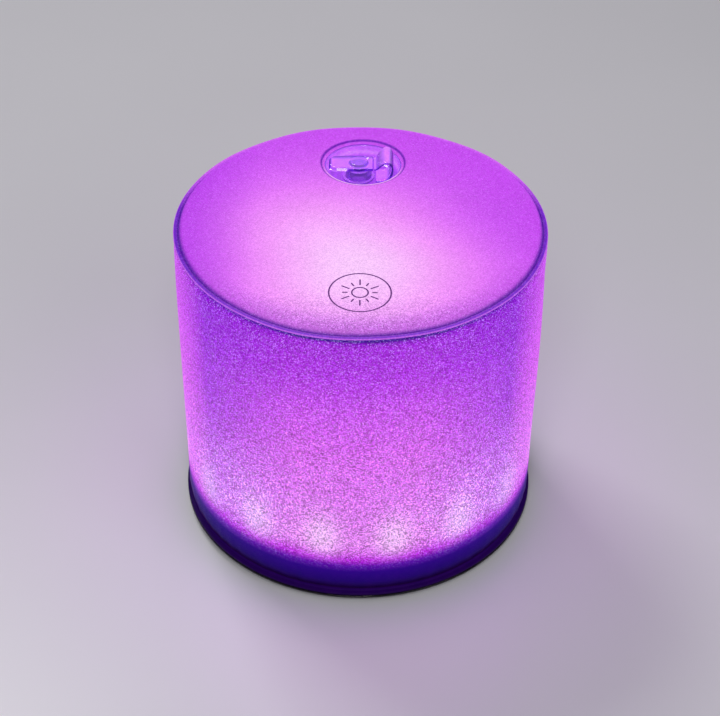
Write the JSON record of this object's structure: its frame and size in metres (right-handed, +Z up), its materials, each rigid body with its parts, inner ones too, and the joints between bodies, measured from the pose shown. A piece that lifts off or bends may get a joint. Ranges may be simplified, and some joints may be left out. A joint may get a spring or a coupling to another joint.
{
  "type": "floating pool light",
  "caption": "Inflatable drum-shaped pool light: frosted film drum with welded rims, recessed air valve on top, and a sealed solar LED puck in its base.",
  "frame": {"origin": "on the surface the light stands on, under the middle of the drum", "axes": "+Z up the drum's axis, +Y towards the valve at the back, -Y towards the power button at the front, +X to the right"},
  "size_m": [0.127, 0.127, 0.1208],
  "materials": {
    "frosted_film": "frosted translucent film, fine sparkling grain, lit violet from inside",
    "base_film": "clear film with a slight haze",
    "clear_vinyl": "clear glossy soft vinyl",
    "dark_plastic": "fine moulded texture",
    "clear_plastic": "clear moulded, polished",
    "solar_laminate": "clear glossy laminate",
    "white_plastic": "satin",
    "seal_rubber": "matte",
    "button_rubber": "matte",
    "circuit_board": "solder mask, satin",
    "led_package": "moulded package with a clear resin cup",
    "chip": "moulded epoxy",
    "connector": "satin",
    "battery_foil": "satin laminated foil",
    "foam": "closed cell foam",
    "red_lead": "satin insulation",
    "black_lead": "satin insulation",
    "silicon": "dark blue cell with fine silver grid",
    "steel": "plated"
  },
  "bodies": {
    "hub": {"bottom_film": "base_film", "side_wall": "frosted_film", "hub_tray": "dark_plastic", "hub_cover": "clear_plastic", "seal_ring": "seal_rubber", "reflector_dish": "white_plastic", "charge_pipe_1": "clear_plastic", "charge_pipe_2": "clear_plastic", "charge_pipe_3": "clear_plastic", "hub_screw_1": "steel", "hub_screw_2": "steel", "hub_screw_3": "steel", "hub_screw_4": "steel", "hub_screw_5": "steel", "hub_screw_6": "steel", "main_board": "circuit_board", "power_switch": "chip", "check_switch": "chip", "controller_chip": "chip", "battery_connector": "connector", "battery_cell": "battery_foil", "battery_pad": "foam", "battery_lead_red": "red_lead", "battery_lead_black": "black_lead", "led_01": "led_package", "led_02": "led_package", "led_03": "led_package", "led_04": "led_package", "led_05": "led_package", "led_06": "led_package", "led_07": "led_package", "led_08": "led_package", "led_09": "led_package", "led_10": "led_package", "led_11": "led_package", "led_12": "led_package", "led_13": "led_package", "led_14": "led_package", "led_15": "led_package", "led_16": "led_package", "solar_laminate": "solar_laminate", "solar_board": "circuit_board", "solar_cell_1": "silicon", "solar_cell_2": "silicon", "solar_cell_3": "silicon", "solar_cell_4": "silicon", "solar_cell_5": "silicon", "solar_cell_6": "silicon", "solar_lead_red": "red_lead", "solar_lead_black": "black_lead"},
    "top": {"top_film": "frosted_film", "valve_ring": "clear_vinyl", "valve_cup": "clear_vinyl"},
    "valve_stem": {"valve_stem": "clear_vinyl", "valve_tether": "clear_vinyl"},
    "valve_plug": {"valve_plug": "clear_vinyl"},
    "check_flap": {"check_flap": "clear_vinyl"},
    "power_button": {"power_button": "button_rubber"},
    "check_button": {"check_button": "button_rubber"}
  },
  "joints": [
    {"name": "collapse", "type": "slide", "parent": "hub", "child": "top", "axis": [0, 0, 1], "range_m": [-0.085, 0], "deforming": ["side_wall"]},
    {"name": "valve_pull_out", "type": "slide", "parent": "top", "child": "valve_stem", "axis": [0, 0, 1], "range_m": [0, 0.005], "deforming": ["valve_cup"]},
    {"name": "plug_hinge", "type": "hinge", "parent": "valve_stem", "child": "valve_plug", "pos_m": [0.0081, 0.0351, 0.1165], "axis": [0, 1, 0], "range_deg": [0, 110], "deforming": ["valve_tether"]},
    {"name": "flap_hinge", "type": "hinge", "parent": "valve_stem", "child": "check_flap", "pos_m": [-0.0009, 0.0395, 0.109], "axis": [1, 0, 0], "range_deg": [0, 35], "stiffness_Nm_per_rad": 0.0005},
    {"name": "power_press", "type": "slide", "parent": "hub", "child": "power_button", "axis": [0, 0, 1], "range_m": [0, 0.0008], "stiffness_N_per_m": 700},
    {"name": "check_press", "type": "slide", "parent": "hub", "child": "check_button", "axis": [0, 0, 1], "range_m": [0, 0.0008], "stiffness_N_per_m": 700}
  ]
}
